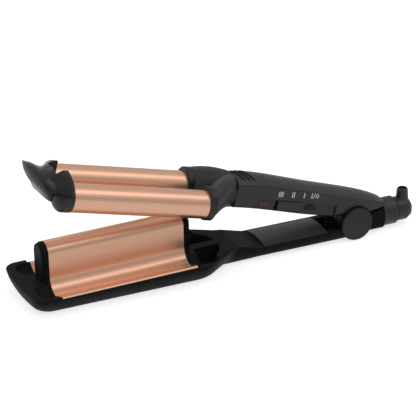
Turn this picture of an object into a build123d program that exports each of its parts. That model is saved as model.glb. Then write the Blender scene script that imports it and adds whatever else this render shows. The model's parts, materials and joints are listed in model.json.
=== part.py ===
from build123d import *
import math
import os

# Hair waver. Two heated barrels on an upper arm close into the two troughs of a heated plate on a
# lower jaw, and the plate's fin stands up between them. Sizes are in millimetres. X runs from the
# cool tip to the cord, Y across and Z up, and the controls are on the -Y side. The origin is the
# middle of the jaw's flat underside.

# Barrels and wave plate
barrel_r = 11.1
barrel_wall = 1.0
barrel_spacing = 41.6
barrel_front_x = -262.0
barrel_rear_x = -146.8
barrel_seat = 4.0
front_seat = 1.0
plug_length = 7.0
plate_length = 113.0
trough_clearance = 0.6
sheet = 0.8
fin_height = 37.6
flare_angle = 36.0
hem_y = 34.8
hem_r = 2.0
hem_z = 4.3
hem_trim = 4.4

# Hinge and frames
hinge_x = 207.5
drum_r = 14.2
open_angle = 15.2
trough_tilt = 1.1
trough_floor_z = 10.3
core_half = 12.0
ear_outer = 16.0
pin_r = 3.0
cap_r = 13.8
cap_thickness = 1.2

# Lower jaw and arm, as outlines at three heights
hull_floor = 3.0
hull_wall = 2.4
hull_corner_r = 11.0
hull_shoulder_r = 22.0
hull_neck_r = 16.0
nose_bow = 2.8
hull_lip = 2.4
hollow_corners = ((24.5, -10.0), (28.0, -5.0))
hollow_top_z = 0.5
nose_rise = 6.3
hump_bend_r = 18.0
arm_rim_z = 11.6
arm_under_z = 2.3
arm_neck_x = 120.0
hump_x = 101.0
foot_rear_x = 90.0
channel_foot_half = 10.0
channel_knee_half = 13.2
channel_knee_z = 8.0
channel_half = 13.6
cover_half = 15.8
cover_crown = 2.2
cover_front_x = arm_neck_x + 4.0
channel_front_x = cover_front_x + 2.0
cover_rear_x = 181.0
cup_seat_gap = 0.6
yoke_seat_gap = 0.8
yoke_seat_length = 14.0
pocket_corner_r = 1.8

# Fin caps
bulkhead = 2.4
front_cap_length = 3.1
front_cap_draft = 1.3
rear_cap_length = 3.5
rear_cap_draft = 2.4
cap_tongue = 3.0

# Neck, collar and swivel
neck_x = 219.5
neck_half = 11.0
neck_top_z = 18.6
neck_bottom_z = 0.9
neck_corner_r = 6.0
spigot_r = 6.5
spigot_length = 5.0
spigot_seat = 6.0
collar_x = 236.5
collar_length = 14.0
collar_r = 11.6
bead_width = 3.0
bead_slope = 0.6
bead_rise = 0.4
collar_chamfer = 1.2
cord_z = 12.0
swivel_length = 15.0
swivel_r = 10.0
swivel_edge = 0.6
swivel_nose = ((6.0, 0.0), (2.0, 2.0), (0.0, 5.0))
boot_height = 18.0
boot_foot_r = 5.8
boot_top_r = 4.5
boot_edge_r = 2.0
outlet_r = 3.2

# Handle
handle_front_x = -116.0
handle_half = 14.5
handle_wall = 2.2
panel_half = 13.0
panel_front_x = handle_front_x + 15.5
panel_rear_x = -22.0
handle_corner = 4.0
tail_x = 25.4
rib_height = 0.8
rib_width = 1.6
rib_pitch = 4.5
rib_count = 3
rib_foot_x = handle_front_x + 5.6
rib_foot_y = -10.0
rib_lean = 7.0
rib_reach = 14.0
ear_relief = 0.6

# Controls
knob_length = 21.0
knob_x = panel_front_x + 34.7
knob_top_z = 14.9
knob_bottom_z = 7.2
knob_travel = 2.6
button_r = 5.1
button_x = knob_x + 20.0
button_z = 9.2
button_travel = 0.8
lens_x = panel_front_x + 12.0
lens_z = 11.9
lens_length = 9.0
lens_height = 4.0

knob_gap = 0.3
knob_proud = 0.5
knob_back = 10.6
panel_wall = 2.2
flange = 2.0
flange_thickness = 1.0
button_rise = 3.9
button_proud = 0.5
board_y = -5.0
board_thickness = 1.6
board_front_x = panel_front_x + 4.5
board_rear_x = button_x + 9.8
board_low_z = 10.0
board_top_z = 20.0
board_post_foot_z = 6.5
board_posts = (knob_x - 12.2, knob_x + 13.8)

# Cool tip
cup_r = 11.4
cup_length = 6.0
cup_nose = 7.5
dome_flat_angle = 6
arch_z = 11.8
lip_rear_x = barrel_front_x - 13.5
lip_inner_reach = 11.5
lip_inner_half = 20.5
ledge_front = (barrel_front_x - 18.0, 13.4)
ledge_rear = (barrel_front_x, 16.4)
tip_step = 9.0
tip_foot_z = 7.2
ring_margin = 5.0
slot_gap = 0.7

# Yoke and collars
ring_r = 12.3
ring_height = 13.5
ring_length = 5.5

collar_rise = 1.2
collar_step = 0.3
yoke_wall = 2.8
lead_r = 4.0

# Heaters
heater_margin = 11.5
heater_strip = 2.4
heater_low_z = 6.0
heater_top_z = 27.0
fuse_r = 1.5
cradle_margin = 4.5
rail_width = 8.0
tie_top = 4.3
heater_web_inset = 4.0
heater_web_drop = 3.0
fuse_length = 10.0

# Screws
screw_r = 1.3
screw_head_r = 2.6
screw_head_h = 1.3
screw_head_z = 0.4
jaw_screw_length = 7.0
arm_screw_length = 8.5
boss_r = 3.0
jaw_screw_inset = 14.5
cover_screw_inset = 9.5
screw_shoulder = 0.9
handle_screw_grip = 8.0

# Clearances
fit_gap = 0.05
move_gap = 0.3

# Return spring
spring_x = 191.0
spring_r = 3.2
spring_wire_r = 0.55
spring_wire_sides = 6
spring_foot_z = 4.0
spring_turns = 5.0

# Worked out from the sizes above
barrel_y = barrel_spacing / 2
trough_r = barrel_r + trough_clearance
fin_half = barrel_y - trough_r
rest_tilt = open_angle - trough_tilt
tilt = math.radians(trough_tilt)
rest = math.radians(rest_tilt)
hinge_z = drum_r
hinge_run = math.cos(tilt) * hinge_x + math.sin(tilt) * (hinge_z - trough_floor_z)
hinge_rise = math.cos(tilt) * (hinge_z - trough_floor_z) - math.sin(tilt) * hinge_x
barrel_z = trough_r - hinge_rise
ear_inner = core_half + move_gap
core_r = drum_r - 1.9
plate_front_x = -plate_length / 2
cradle_length = plate_length - 2 * cradle_margin
heater_length = plate_length - 2 * heater_margin
plate_rear_x = plate_length / 2
collar_rear_x = collar_x + collar_length
cap_x = {"front": plate_front_x - bulkhead, "rear": plate_rear_x + bulkhead}
sides = {"left": -1, "right": 1}

jaw = Plane(
    origin=(0, 0, trough_floor_z),
    x_dir=(math.cos(tilt), 0, math.sin(tilt)),
    z_dir=(-math.sin(tilt), 0, math.cos(tilt)),
)
arm = Plane(
    origin=(hinge_x, 0, hinge_z),
    x_dir=(math.cos(rest), 0, -math.sin(rest)),
    z_dir=(math.sin(rest), 0, math.cos(rest)),
)
arm_axis = Axis(arm.origin, arm.x_dir)
hull_boss_z = 6.0
hull_base = -12.0
jaw_screw_x = plate_length / 2 - jaw_screw_inset
jaw_screws = [(x, side * barrel_y, screw_head_z) for x in (-jaw_screw_x, jaw_screw_x) for side in (-1, 1)]
arm_screws = [
    (x, 0.0, arm_under_z + screw_head_z)
    for x in (cover_front_x + cover_screw_inset, cover_rear_x - cover_screw_inset)
]
fin_sweep_r = math.hypot(hinge_run - cap_x["front"] + front_cap_length, fin_height) + move_gap
saddle_stations = (
    # distance ahead of the barrels, half width, rise over the arch's foot
    (0.0, 32.3, 18.4),
    (2.5, 31.0, 18.4),
    (5.5, 25.5, 18.0),
    (10.0, 21.0, 15.8),
    (15.0, 19.4, 14.8),
    (20.0, 19.8, 15.8),
    (24.5, 20.8, 17.4),
    (33.0, 22.0, 19.4),
)
bow_levels = (
    # height, reach ahead of the barrels, half width
    (6.0, 15.5, 18.0),
    (11.0, 19.5, 21.0),
    (16.0, 24.5, 22.0),
    (22.0, 29.0, 22.4),
    (28.0, 31.5, 22.6),
    (34.0, 31.2, 22.6),
)

os.makedirs("parts", exist_ok=True)


def across(frame, x):
    """A plane square to the frame's X, with sketch X across the object and sketch Y up."""
    return Plane(origin=frame.from_local_coords((x, 0, 0)), x_dir=frame.y_dir, z_dir=frame.x_dir)


def across_z(x):
    """A plane square to the cord's line, with its normal along +X."""
    return Plane(origin=(x, 0, cord_z), x_dir=(0, 1, 0), z_dir=(1, 0, 0))


def beside(frame, y=0.0):
    """A plane along the frame, seen from the -Y side, with sketch X along it and sketch Y up."""
    return Plane(origin=frame.from_local_coords((0, y, 0)), x_dir=frame.x_dir, z_dir=-frame.y_dir)


def keep(solid, name):
    """Label a finished piece and write its file."""
    solid.part.label = name
    export_step(solid.part, f"parts/{name}.step")


def plate_region(inset, base=-2 * hull_wall):
    """Area under the plate's upper face across the jaw, drawn inset by a sheet's depth."""
    flare = math.radians(flare_angle)
    radius = trough_r + inset
    side = fin_half - inset
    foot = (barrel_y + radius * math.sin(flare), trough_r - radius * math.cos(flare))
    edge = hem_y - inset
    crest = foot[1] + (edge - foot[0]) * math.tan(flare)
    shoulder = fin_height - fin_half
    with BuildSketch(mode=Mode.PRIVATE) as region:
        with BuildLine():
            CenterArc((0, shoulder), side, 0, 180)
            for s in (1, -1):
                Line((s * side, shoulder), (s * side, trough_r))
                start = 180 if s > 0 else 0
                sweep = s * (90 + flare_angle)
                CenterArc((s * barrel_y, trough_r), radius, start, sweep)
                Line((s * foot[0], foot[1]), (s * edge, crest))
                Line((s * edge, crest), (s * edge, base))
            Line((-edge, base), (edge, base))
        make_face()
        crests = region.vertices().filter_by(lambda v: abs(abs(v.X) - edge) < 0.01 and v.Y > base + 1)
        fillet(crests, hem_r - inset)
    return region.sketch


def hull_level(height, nose_x, jaw_half, shoulder_x, neck_start_x, arm_half):
    """Outline of the lower shell at one height: round nose, jaw sides, shoulders and arm."""
    with BuildSketch(Plane.XY.offset(height)) as level:
        with BuildLine():
            Polyline(
                (nose_x + nose_bow, jaw_half),
                (shoulder_x, jaw_half),
                (neck_start_x, arm_half),
                (hinge_x, arm_half),
                (hinge_x, -arm_half),
                (neck_start_x, -arm_half),
                (shoulder_x, -jaw_half),
                (nose_x + nose_bow, -jaw_half),
            )
            ThreePointArc(
                (nose_x + nose_bow, -jaw_half), (nose_x, 0), (nose_x + nose_bow, jaw_half)
            )
        make_face()
        for x, radius in (
            (nose_x + nose_bow, hull_corner_r),
            (shoulder_x, hull_shoulder_r),
            (neck_start_x, hull_neck_r),
        ):
            fillet(level.vertices().filter_by(lambda v: abs(v.X - x) < 0.01), radius)
    return level


def cup_profile(frame, y, z, rim_x, shoulder_x, radius, nose):
    """Half-section of a round-nosed cup: rim, straight wall, dome and a small flat at its middle."""
    start = 90 if shoulder_x < rim_x else dome_flat_angle
    with BuildSketch(beside(frame, y)) as profile:
        with BuildLine():
            Polyline((rim_x, z), (rim_x, z + radius), (shoulder_x, z + radius))
            dome = EllipticalCenterArc(
                (shoulder_x, z), nose, radius, start_angle=start, arc_size=90 - dome_flat_angle
            )
            flat = dome @ 1 if shoulder_x < rim_x else dome @ 0
            Polyline(flat, (flat.X, z), (rim_x, z))
        make_face()
    return profile.sketch


def cup(frame, y, z, rim_x, shoulder_x, radius, nose, mode=Mode.ADD):
    """A solid cup, spun about the line that runs along the frame at y and z."""
    axis = Axis(frame.from_local_coords((0, y, z)), frame.x_dir)
    profile = cup_profile(frame, y, z, rim_x, shoulder_x, radius, nose)
    revolve(profile, axis=axis, revolution_arc=360, mode=mode)


def disc(frame, x, z, radius, y_from, y_to, mode=Mode.ADD):
    """A round slab across the object, between two widths."""
    with BuildSketch(beside(frame, y_from)) as face:
        with Locations((x, z)):
            Circle(radius)
    extrude(face.sketch, amount=y_from - y_to, mode=mode)


def slab(frame, x_from, x_to, y_from, y_to, z_from, z_to, mode=Mode.ADD):
    """A square block between two corners in a frame."""
    with BuildSketch(frame.offset(z_from)) as face:
        with Locations(((x_from + x_to) / 2, (y_from + y_to) / 2)):
            Rectangle(abs(x_to - x_from), abs(y_to - y_from))
    extrude(face.sketch, amount=z_to - z_from, mode=mode)


def post(frame, x, y, z_from, z_to, radius, mode=Mode.ADD):
    """A round post along the frame's Z."""
    with BuildSketch(frame.offset(z_from)) as face:
        with Locations((x, y)):
            Circle(radius)
    extrude(face.sketch, amount=z_to - z_from, mode=mode)


def handle_section(x, crown, seam, bottom, half, inset=0.0, side_inset=None):
    """Cross-section of the handle: a crowned lid over straight sides with round lower corners."""
    corner = handle_corner - inset
    wide = half - (inset if side_inset is None else side_inset)
    low = bottom + inset
    with BuildSketch(across(arm, x)) as section:
        with BuildLine():
            ThreePointArc((-wide, seam), (0, crown - inset), (wide, seam))
            Line((wide, seam), (wide, low + corner))
            RadiusArc((wide, low + corner), (wide - corner, low), corner)
            Line((wide - corner, low), (corner - wide, low))
            RadiusArc((corner - wide, low), (-wide, low + corner), corner)
            Line((-wide, low + corner), (-wide, seam))
        make_face()
    return section.sketch


def screw_hole(frame, x, floor_z):
    """A clearance hole with a sunk head, up through a floor whose upper face is at floor_z."""
    post(frame, x, 0, floor_z - 12, floor_z + 0.5, screw_r, Mode.SUBTRACT)
    post(frame, x, 0, floor_z - 12, floor_z - screw_shoulder, screw_head_r, Mode.SUBTRACT)


def handle_form(inset=0.0, side_inset=None, stations=None, mode=Mode.ADD):
    """The handle's whole form, or a smaller one inside it."""
    chosen = stations or handle_stations
    loft(
        sections=[handle_section(*station, inset, side_inset) for station in chosen],
        mode=mode,
    )


handle_stations = (
    # x, crown, seam, bottom, half width
    (handle_front_x, 31.8, 26.5, 7.0, handle_half),
    (-60.0, 28.8, 25.0, 4.8, handle_half),
    (-16.0, 25.0, 21.4, 4.6, 14.3),
    (10.0, 22.2, 19.2, 8.4, 13.2),
    (tail_x, 18.8, 17.2, 12.6, 11.0),
)
hollow_stations = (
    (handle_front_x + 4.0, 31.5, 26.3, 6.8, handle_half),
    (-60.0, 28.8, 25.0, 4.8, handle_half),
    (-22.0, 25.6, 21.9, 4.8, 14.3),
)
hull_levels = (
    # height, nose x, jaw half width, shoulder x, neck start x, arm half width
    (0.0, -72.0, 25.5, 68.0, 86.0, 10.0),
    (2.5, -75.2, 28.6, 68.5, 89.0, 13.2),
    (6.0, -77.6, 31.4, 69.0, 92.0, 15.6),
    (10.5, -79.2, 34.4, 69.0, 95.0, 17.0),
    (18.0, -80.6, 36.2, 69.0, 99.0, 18.2),
)
pocket_corners = ((66.0, 4.0), (66.0, 21.0), (71.5, 24.4), (79.0, 21.0), (86.0, 12.5), (89.0, 4.0))
panel_outline = (
    (panel_front_x, -20),
    (panel_front_x, 9.5),
    (panel_front_x + 5.5, 16.7),
    (knob_x + 5.8, 15.9),
    (panel_rear_x, 14.2),
    (panel_rear_x, -20),
)
handle_screws = ((handle_front_x + 10.0, 9.2, 30.0), (panel_rear_x - 8.0, 7.1, 25.0))
yoke_front_x = barrel_rear_x + ring_length
yoke_sections = (
    # x, middle across, middle up, half width, half height
    (yoke_front_x, barrel_y, barrel_z + collar_rise, ring_r - collar_step, ring_height - collar_step),
    ((yoke_front_x + handle_front_x) / 2, 11.8, 18.4, 12.6, 12.4),
    (handle_front_x, 3.0, 18.0, 11.4, 13.4),
)
seam_line = [(x, seam) for x, _, seam, _, _ in handle_stations]
underside_z = handle_stations[2][3]
spring_contact_x = (spring_x - hinge_x - underside_z * math.sin(rest)) / math.cos(rest)
spring_contact_z = hinge_z - spring_contact_x * math.sin(rest) + underside_z * math.cos(rest)
spring_slope = (spring_r + spring_wire_r) * math.tan(rest)
spring_top_z = spring_contact_z - spring_slope - move_gap


# ---------------------------------------------------------------- lower jaw and arm

with BuildPart() as wave_plate:
    with BuildSketch(across(jaw, plate_front_x)):
        add(plate_region(0.0))
        add(plate_region(sheet), mode=Mode.SUBTRACT)
        with Locations((hem_y, hem_z - hull_wall * 2), (-hem_y, hem_z - hull_wall * 2)):
            Rectangle(hem_trim, hull_wall * 4, mode=Mode.SUBTRACT)
    extrude(amount=plate_length)
keep(wave_plate, "wave_plate")


def in_jaw(x, z):
    """A point of the world's X-Z plane in the jaw's frame."""
    point = jaw.to_local_coords(Vector(x, 0, z))
    return (point.X, point.Z)


def above_floor():
    """Trim a piece of the jaw flat on the shell's floor."""
    slab(Plane.XY, -plate_length, plate_length, -plate_length, plate_length, hull_floor, plate_length,
         Mode.INTERSECT)


def hollow_face(frame, gap):
    """The jaw's hollow end-on, drawn in by a gap."""
    edge = hem_y - hull_lip - gap
    half_outline = [(y - gap, z) for y, z in hollow_corners] + [(edge, hollow_top_z), (edge, fin_height / 2)]
    with BuildSketch(frame) as face:
        with BuildLine():
            Polyline(*half_outline, *[(-y, z) for y, z in reversed(half_outline)], close=True)
        make_face()
    return face.sketch


with BuildPart() as jaw_cavity:
    cavity_front = cap_x["front"] - fit_gap
    extrude(hollow_face(across(jaw, cavity_front), 0.0), amount=cap_x["rear"] + fit_gap - cavity_front)
    above_floor()

with BuildPart() as lower_arm_shell:
    loft(sections=[hull_level(*level).sketch for level in hull_levels])
    # Rim and underside, seen from the side
    with BuildSketch(beside(jaw)) as side_view:
        with BuildLine():
            Polyline(
                in_jaw(-plate_length, 0),
                in_jaw(foot_rear_x, 0),
                in_jaw(arm_neck_x, arm_under_z),
                in_jaw(hinge_x + 1, arm_under_z),
                in_jaw(hinge_x + 1, arm_rim_z),
                in_jaw(arm_neck_x, arm_rim_z),
                (hump_x, hem_z),
                (cap_x["front"], hem_z),
                (cap_x["front"], nose_rise),
                (-plate_length, nose_rise),
                close=True,
            )
        make_face()
        bends = side_view.vertices().filter_by(lambda v: hump_x - 1 < v.X < arm_neck_x + 1)
        fillet(bends, hump_bend_r)
    extrude(amount=60, both=True, mode=Mode.INTERSECT)
    # Hollow under the wave plate
    add(jaw_cavity.part, mode=Mode.SUBTRACT)
    # Seats that clear the cool tip's cups in front and the yoke's collars behind
    for side in sides.values():
        cup(jaw, side * barrel_y, trough_r, cap_x["front"] + 0.5, cap_x["front"] - cup_length,
            cup_r + cup_seat_gap, cup_nose, mode=Mode.SUBTRACT)
        cup(jaw, side * barrel_y, trough_r, cap_x["rear"] - 0.5, cap_x["rear"] + yoke_seat_length,
            ring_r + yoke_seat_gap, cup_nose, mode=Mode.SUBTRACT)
        with BuildSketch(Plane.XY.offset(hull_floor)) as pocket:
            with BuildLine():
                Polyline(*[(x, side * y) for x, y in pocket_corners], close=True)
            make_face()
            fillet(pocket.vertices(), pocket_corner_r)
        extrude(amount=20, mode=Mode.SUBTRACT)
    # Wire channel under the arm's cover
    with BuildSketch(across(Plane.XY, channel_front_x)):
        with BuildLine():
            Polyline(
                (channel_foot_half, hull_boss_z),
                (channel_knee_half, channel_knee_z),
                (channel_half, drum_r),
                (-channel_half, drum_r),
                (-channel_knee_half, channel_knee_z),
                (-channel_foot_half, hull_boss_z),
                close=True,
            )
        make_face()
    extrude(amount=cover_rear_x - hull_wall - channel_front_x, mode=Mode.SUBTRACT)
    # Hinge housing and neck
    disc(Plane.XY, hinge_x, hinge_z, drum_r, -ear_outer, ear_outer)
    with BuildSketch(across(Plane.XY, neck_x - 4)):
        with Locations((0, (neck_top_z + neck_bottom_z) / 2)):
            RectangleRounded(2 * neck_half, neck_top_z - neck_bottom_z, neck_corner_r)
    extrude(amount=collar_x - neck_x + 4)
    disc(Plane.XY, hinge_x, hinge_z, core_r + move_gap, -ear_inner, ear_inner, Mode.SUBTRACT)
    slab(Plane.XY, cover_rear_x, hinge_x, -ear_inner, ear_inner, spring_foot_z, 60, Mode.SUBTRACT)
    slab(Plane.XY, hinge_x, neck_x + 1, -ear_inner, ear_inner, hinge_z - 2, 60, Mode.SUBTRACT)
    disc(Plane.XY, hinge_x, hinge_z, pin_r, -ear_outer, ear_outer, Mode.SUBTRACT)
    for side in sides.values():
        disc(Plane.XY, hinge_x, hinge_z, drum_r, side * ear_outer, side * 20, Mode.SUBTRACT)
    # Screw holes from below
    for x, y, seat in jaw_screws + arm_screws:
        post(Plane.XY, x, y, -1, hull_boss_z + 1, screw_r, Mode.SUBTRACT)
        post(Plane.XY, x, y, -1, seat + screw_head_h, screw_head_r, Mode.SUBTRACT)
    post(across_z(collar_x), 0, 0, -6, 1, spigot_r + fit_gap, Mode.SUBTRACT)
keep(lower_arm_shell, "lower_arm_shell")

with BuildPart() as lower_arm_cover:
    with BuildSketch(across(Plane.XY, cover_front_x)):
        with BuildLine():
            ThreePointArc(
                (-cover_half, arm_rim_z), (0, arm_rim_z + cover_crown), (cover_half, arm_rim_z)
            )
            Line((-cover_half, arm_rim_z), (cover_half, arm_rim_z))
        make_face()
    extrude(amount=cover_rear_x - cover_front_x)
    for x, y, seat in arm_screws:
        post(Plane.XY, x, y, hull_boss_z, arm_rim_z + 0.5, boss_r)
        post(Plane.XY, x, y, hull_boss_z, seat + arm_screw_length, screw_r, Mode.SUBTRACT)
keep(lower_arm_cover, "lower_arm_cover")


def fin_face(frame, half, top, bottom):
    """The fin's end-on shape: straight sides under a round top."""
    with BuildSketch(frame) as face:
        with BuildLine():
            Line((half, bottom), (half, top - half))
            ThreePointArc((half, top - half), (0, top), (-half, top - half))
            Polyline((-half, top - half), (-half, bottom), (half, bottom))
        make_face()
    return face.sketch


end_limits = hollow_face(Plane.XY, fit_gap) + Pos(0, fin_height / 2) * Rectangle(
    2 * fin_half, fin_height + 10
)
for end, length, draft, base in (
    ("front", -front_cap_length, front_cap_draft, nose_rise),
    ("rear", rear_cap_length, rear_cap_draft, hem_z),
):
    outward = -1 if end == "front" else 1
    plate_end = outward * plate_length / 2
    with BuildPart() as fin_cap:
        # Bulkhead that closes the end of the formed sheet
        with BuildSketch(across(jaw, min(plate_end, cap_x[end]))) as bulkhead_face:
            add(plate_region(fit_gap, hull_base))
            add(end_limits, mode=Mode.INTERSECT)
        extrude(amount=bulkhead)
        above_floor()
        # Rounded end of the fin
        loft(
            sections=[
                fin_face(across(jaw, cap_x[end]), fin_half - fit_gap, fin_height - fit_gap, base),
                fin_face(across(jaw, cap_x[end] + length), fin_half - draft, fin_height - draft, base),
            ]
        )
        # Tongue inside the fin
        tongue = fin_face(
            across(jaw, plate_end), fin_half - sheet - fit_gap, fin_height - sheet - fit_gap, base + 3
        )
        extrude(tongue, amount=-outward * cap_tongue)
    keep(fin_cap, f"fin_cap_{end}")

with BuildPart() as plate_cradle:
    with BuildSketch(across(jaw, -cradle_length / 2)):
        for side in sides.values():
            with Locations((side * barrel_y, -trough_floor_z / 2)):
                Rectangle(rail_width, trough_floor_z)
        with Locations((0, -trough_floor_z)):
            Rectangle(2 * barrel_y, 2 * tie_top)
        for side in sides.values():
            with Locations((side * barrel_y, trough_r)):
                Circle(trough_r + sheet + fit_gap, mode=Mode.SUBTRACT)
    extrude(amount=cradle_length)
    above_floor()
    for x, y, seat in jaw_screws:
        post(Plane.XY, x, y, hull_floor, seat + jaw_screw_length, screw_r, Mode.SUBTRACT)
keep(plate_cradle, "plate_cradle")

with BuildPart() as plate_heater:
    inner = fin_half - sheet
    reach = heater_length / 2
    for side in sides.values():
        slab(jaw, -reach, reach, side * heater_strip / 2, side * inner, heater_low_z, heater_top_z)
    slab(jaw, heater_web_inset - reach, reach - heater_web_inset, -heater_strip / 2, heater_strip / 2,
         heater_low_z + heater_web_drop, heater_top_z - heater_web_drop)
keep(plate_heater, "plate_heater")

with BuildPart() as thermal_fuse:
    with BuildSketch(across(jaw, -fuse_length / 2)):
        with Locations((0, heater_low_z - fuse_r)):
            Circle(fuse_r)
    extrude(amount=fuse_length)
keep(thermal_fuse, "thermal_fuse")


def screw(frame, x, y, seat_z, length):
    """A pan-head screw that points along the frame's +Z from its seat."""
    post(frame, x, y, seat_z, seat_z + screw_head_h, screw_head_r)
    post(frame, x, y, seat_z + screw_head_h, seat_z + length, screw_r)


with BuildPart() as lower_screws:
    for x, y, seat in jaw_screws:
        screw(Plane.XY, x, y, seat, jaw_screw_length)
    for x, y, seat in arm_screws:
        screw(Plane.XY, x, y, seat, arm_screw_length)
keep(lower_screws, "lower_screws")

with BuildPart() as hinge_pin:
    disc(Plane.XY, hinge_x, hinge_z, pin_r, -ear_outer, ear_outer)
keep(hinge_pin, "hinge_pin")

for name, side in sides.items():
    with BuildPart() as hinge_cap:
        disc(Plane.XY, hinge_x, hinge_z, cap_r, side * ear_outer, side * (ear_outer + cap_thickness))
        outer = hinge_cap.faces().sort_by(Axis.Y)[-1 if side > 0 else 0]
        fillet(outer.edges(), 0.5)
    keep(hinge_cap, f"hinge_cap_{name}")

with BuildPart() as return_spring:
    with BuildLine(Plane(origin=(spring_x, 0, spring_foot_z + spring_wire_r))) as coil:
        Helix(
            pitch=(spring_top_z - spring_foot_z - 2 * spring_wire_r) / spring_turns,
            height=spring_top_z - spring_foot_z - 2 * spring_wire_r,
            radius=spring_r,
        )
    with BuildSketch(Plane(origin=coil.line @ 0, z_dir=coil.line % 0)):
        RegularPolygon(spring_wire_r, spring_wire_sides)
    sweep(is_frenet=True)
keep(return_spring, "return_spring")

with BuildPart() as swivel_collar:
    with BuildSketch(beside(Plane.XY)):
        with BuildLine():
            Polyline(
                (collar_x, cord_z + spigot_r + fit_gap),
                (collar_x, cord_z + collar_r),
                (collar_x + bead_slope, cord_z + collar_r + bead_rise),
                (collar_x + bead_width - bead_slope, cord_z + collar_r + bead_rise),
                (collar_x + bead_width, cord_z + collar_r),
                (collar_rear_x - collar_chamfer, cord_z + collar_r),
                (collar_rear_x, cord_z + collar_r - collar_chamfer),
                (collar_rear_x, cord_z + spigot_r + fit_gap),
                close=True,
            )
        make_face()
    revolve(axis=Axis((0, 0, cord_z), (1, 0, 0)))
keep(swivel_collar, "swivel_collar")

with BuildPart() as cord_swivel:
    swivel_x = collar_rear_x + move_gap
    spigot_x = collar_x + move_gap - spigot_length
    with BuildSketch(beside(Plane.XY)):
        with BuildLine():
            Polyline(
                (spigot_x, cord_z),
                (spigot_x, cord_z + spigot_r),
                (swivel_x, cord_z + spigot_r),
                (swivel_x, cord_z + swivel_r - swivel_edge),
                (swivel_x + swivel_edge, cord_z + swivel_r),
                *[(swivel_x + swivel_length - back, cord_z + swivel_r - drop) for back, drop in swivel_nose],
                (swivel_x + swivel_length, cord_z),
                close=True,
            )
        make_face()
    revolve(axis=Axis((0, 0, cord_z), (1, 0, 0)))
    # Boot that carries the cord out sideways
    boot_x = swivel_x + swivel_length / 2 + 0.5
    with BuildSketch(Plane.XY.offset(cord_z)):
        with Locations((boot_x, 0)):
            Circle(boot_foot_r)
    with BuildSketch(Plane.XY.offset(cord_z + boot_height)):
        with Locations((boot_x, 0)):
            Circle(boot_top_r)
    loft()
    boot_end = cord_swivel.faces().sort_by(Axis.Z)[-1]
    fillet(boot_end.edges(), boot_edge_r)
    post(Plane.XY, boot_x, 0, cord_z, cord_z + boot_height + 1, outlet_r, Mode.SUBTRACT)
    post(across_z(collar_x - 6), 0, 0, -1, boot_x - collar_x + 6, outlet_r, Mode.SUBTRACT)
keep(cord_swivel, "cord_swivel")


# ---------------------------------------------------------------- upper arm


def oval(x, y, z, half, height):
    """An oval across the arm."""
    with BuildSketch(across(arm, x)) as face:
        with Locations((y, z)):
            Ellipse(half, height)
    return face.sketch


def yoke_leg(side, trim, mode=Mode.ADD):
    """One leg of the yoke, from behind a collar to the front of the handle."""
    loft(
        sections=[
            oval(x, side * y, z, half - trim, height - trim)
            for x, y, z, half, height in yoke_sections
        ],
        mode=mode,
    )

for name, side in sides.items():
    tube_x = barrel_front_x - front_seat
    with BuildPart() as barrel:
        with BuildSketch(across(arm, tube_x)):
            with Locations((side * barrel_y, barrel_z)):
                Circle(barrel_r)
                Circle(barrel_r - barrel_wall, mode=Mode.SUBTRACT)
        extrude(amount=barrel_rear_x + barrel_seat - tube_x)
    keep(barrel, f"barrel_{name}")

    with BuildPart() as barrel_heater:
        middle = (barrel_front_x + barrel_rear_x) / 2
        half_strip = heater_strip / 2
        with BuildSketch(across(arm, middle - heater_length / 2)):
            with Locations((side * barrel_y, barrel_z)):
                Circle(barrel_r - barrel_wall - fit_gap)
                Rectangle(2 * barrel_r, heater_strip, mode=Mode.SUBTRACT)
                Rectangle(2 * barrel_r - 8, heater_strip)
        extrude(amount=heater_length)
    keep(barrel_heater, f"barrel_heater_{name}")

    with BuildPart() as barrel_collar:
        outline = oval(barrel_rear_x, side * barrel_y, barrel_z + collar_rise, ring_r, ring_height)
        extrude(outline, amount=ring_length)
        front = barrel_collar.faces().sort_by(arm_axis)[0]
        fillet(front.edges(), 0.8)
        with BuildSketch(across(arm, barrel_rear_x)):
            with Locations((side * barrel_y, barrel_z)):
                Circle(barrel_r + fit_gap)
        extrude(amount=barrel_seat + fit_gap, mode=Mode.SUBTRACT)
        with BuildSketch(across(arm, barrel_rear_x)):
            with Locations((side * barrel_y, barrel_z)):
                Circle(lead_r)
        extrude(amount=ring_length, mode=Mode.SUBTRACT)
    keep(barrel_collar, f"barrel_collar_{name}")


with BuildPart() as barrel_yoke:
    for side in sides.values():
        yoke_leg(side, 0.0)
    for side in sides.values():
        yoke_leg(side, yoke_wall, Mode.SUBTRACT)
keep(barrel_yoke, "barrel_yoke")


def arch_face(frame, half, rise, low):
    """A round arch over a straight foot, across the tip."""
    with BuildSketch(frame) as face:
        with BuildLine():
            EllipticalCenterArc((0, arch_z), half, rise, start_angle=0, arc_size=180)
            Polyline((-half, arch_z), (-half, low), (half, low), (half, arch_z))
        make_face()
    return face.sketch


def bow(height, reach, half):
    """Plan of the tip at one height: a round bow that widens to the ring behind it."""
    front_x = barrel_front_x - reach
    ring_half = saddle_stations[0][1] + ring_margin
    with BuildSketch(arm.offset(height)) as plan:
        with BuildLine():
            EllipticalCenterArc(
                (lip_rear_x, 0), lip_rear_x - front_x, half, start_angle=90, arc_size=180
            )
            Polyline(
                (lip_rear_x, -half),
                (barrel_front_x - ring_margin, -ring_half),
                (barrel_front_x + ring_margin, -ring_half),
                (barrel_front_x + ring_margin, ring_half),
                (barrel_front_x - ring_margin, ring_half),
                (lip_rear_x, half),
            )
        make_face()
    return plan.sketch


with BuildPart() as bow_form:
    loft(sections=[bow(*level) for level in bow_levels])

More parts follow.
